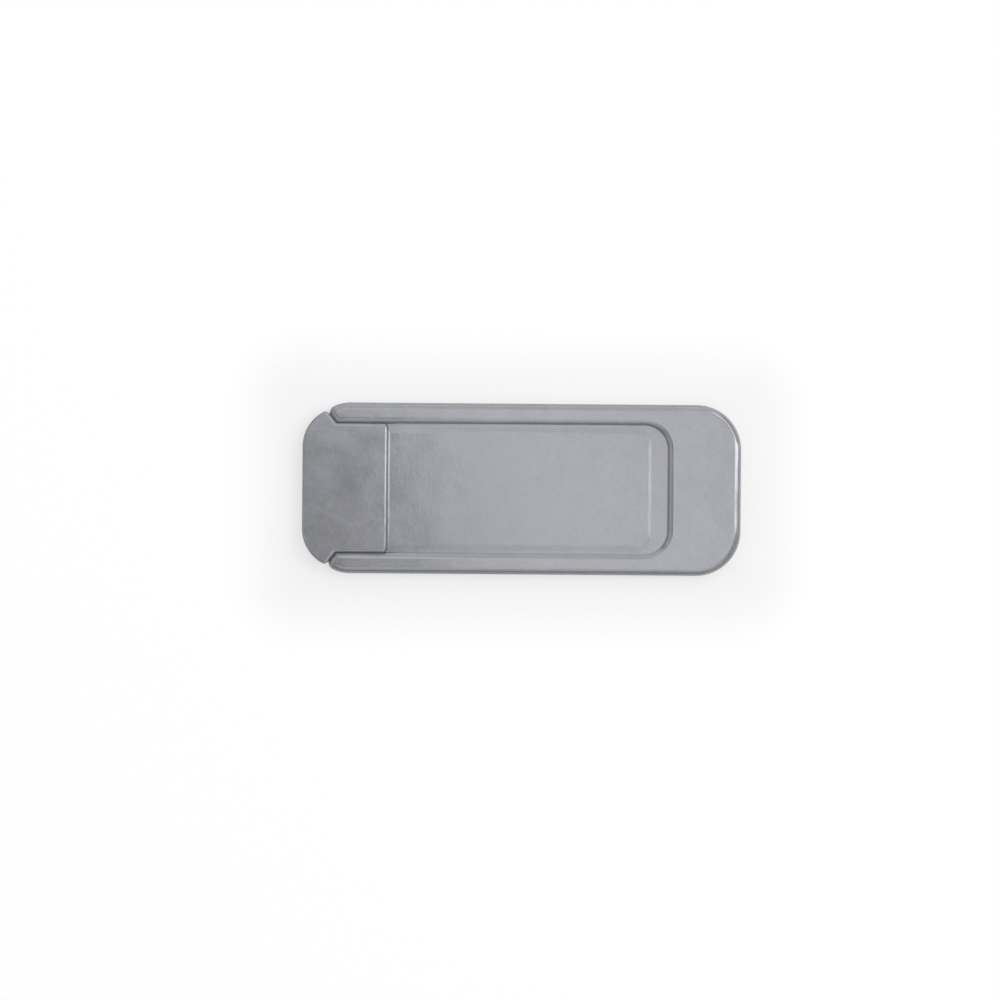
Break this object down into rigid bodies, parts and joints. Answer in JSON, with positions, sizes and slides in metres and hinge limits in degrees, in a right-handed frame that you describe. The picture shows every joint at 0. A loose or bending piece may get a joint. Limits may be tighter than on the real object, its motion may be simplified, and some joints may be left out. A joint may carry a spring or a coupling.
{
  "type": "webcam cover slider",
  "caption": "Thin stick-on sliding cover for a laptop camera: a U-shaped frame with grooved arms, a shutter with a thumb grip that runs in the grooves, and die-cut tape on the back.",
  "frame": {"origin": "centre of the closed cover's footprint, on the tape's sticky face", "axes": "+X along the slide towards the frame's closed end, +Y across the cover, +Z away from the surface it sticks to"},
  "size_m": [0.041, 0.016, 0.0015],
  "materials": {
    "frame_plastic": "satin moulded grey",
    "shutter_plastic": "satin moulded grey",
    "tape": "tacky adhesive film"
  },
  "bodies": {
    "frame_body": {"frame": "frame_plastic", "adhesive_tape": "tape"},
    "shutter_body": {"shutter": "shutter_plastic"}
  },
  "joints": [
    {"name": "shutter_slide", "type": "slide", "parent": "frame_body", "child": "shutter_body", "axis": [-1, 0, 0], "range_m": [0, 0.0218]}
  ]
}
